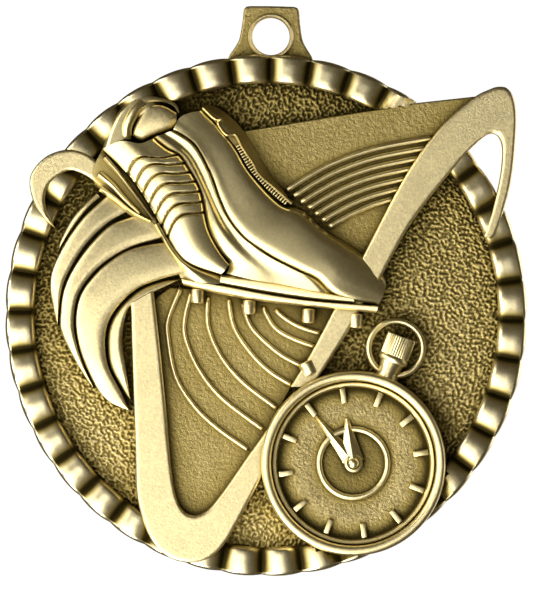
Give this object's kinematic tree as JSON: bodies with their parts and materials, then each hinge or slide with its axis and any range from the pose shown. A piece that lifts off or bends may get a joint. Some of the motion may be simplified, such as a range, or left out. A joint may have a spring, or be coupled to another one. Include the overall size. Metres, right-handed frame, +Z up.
{
  "type": "finisher medal",
  "caption": "Round cast sports finisher medal with a fluted rim, a ribbon loop and raised relief of a running shoe, a folded band, a lined track and a stopwatch.",
  "frame": {"origin": "centre of the ribbon hole, at the middle of the loop tab's thickness", "axes": "+Z up towards the loop, the relief faces -Y, the flat back faces +Y"},
  "size_m": [0.0509, 0.0049, 0.0556],
  "materials": {
    "antique_gold_dark": "antique gold plate on cast zinc, dark patina left in the pebbled ground",
    "antique_gold_brushed": "antique gold plate, crests brushed bright, creases left dark",
    "antique_gold_sanded": "antique gold plate, fine sandblasted texture, mid tone",
    "antique_gold_satin": "antique gold plate, flat satin faces with bright rounded edges",
    "antique_gold_polished": "antique gold plate, buffed bright on the high spots"
  },
  "bodies": {
    "root": {"base_disc": "antique_gold_dark", "loop_tab": "antique_gold_dark", "lace_edge": "antique_gold_dark", "heel_block": "antique_gold_dark", "fluted_rim": "antique_gold_brushed", "upper_track_panel": "antique_gold_sanded", "lower_track_panel": "antique_gold_sanded", "dial_plate": "antique_gold_sanded", "shoe_lining": "antique_gold_sanded", "band_left": "antique_gold_satin", "band_middle": "antique_gold_satin", "band_upper": "antique_gold_satin", "band_scroll": "antique_gold_satin", "loop_collar": "antique_gold_polished", "upper_lane_1": "antique_gold_polished", "upper_lane_2": "antique_gold_polished", "upper_lane_3": "antique_gold_polished", "upper_lane_4": "antique_gold_polished", "upper_lane_5": "antique_gold_polished", "upper_lane_6": "antique_gold_polished", "upper_lane_7": "antique_gold_polished", "lower_lane_1": "antique_gold_polished", "lower_lane_2": "antique_gold_polished", "lower_lane_3": "antique_gold_polished", "lower_lane_4": "antique_gold_polished", "lower_lane_5": "antique_gold_polished", "lower_lane_6": "antique_gold_polished", "lower_lane_7": "antique_gold_polished", "swirl_edge": "antique_gold_polished", "swirl_outer": "antique_gold_polished", "swirl_middle": "antique_gold_polished", "swirl_inner": "antique_gold_polished", "swirl_lower": "antique_gold_polished", "shoe_quarter": "antique_gold_polished", "shoe_strap": "antique_gold_polished", "shoe_vamp": "antique_gold_polished", "shoe_collar": "antique_gold_polished", "shoe_sole": "antique_gold_polished", "arch_strip": "antique_gold_polished", "heel_ridge_upper": "antique_gold_polished", "heel_ridge_middle": "antique_gold_polished", "heel_ridge_lower": "antique_gold_polished", "stud_1": "antique_gold_polished", "stud_2": "antique_gold_polished", "stud_3": "antique_gold_polished", "stud_4": "antique_gold_polished", "watch_case": "antique_gold_polished", "hour_mark_ring": "antique_gold_polished", "dial_ring": "antique_gold_polished", "long_hand": "antique_gold_polished", "short_hand": "antique_gold_polished", "hand_hub": "antique_gold_polished", "crown": "antique_gold_polished", "crown_neck": "antique_gold_polished", "bow_ring": "antique_gold_polished", "pusher": "antique_gold_polished"}
  },
  "joints": []
}
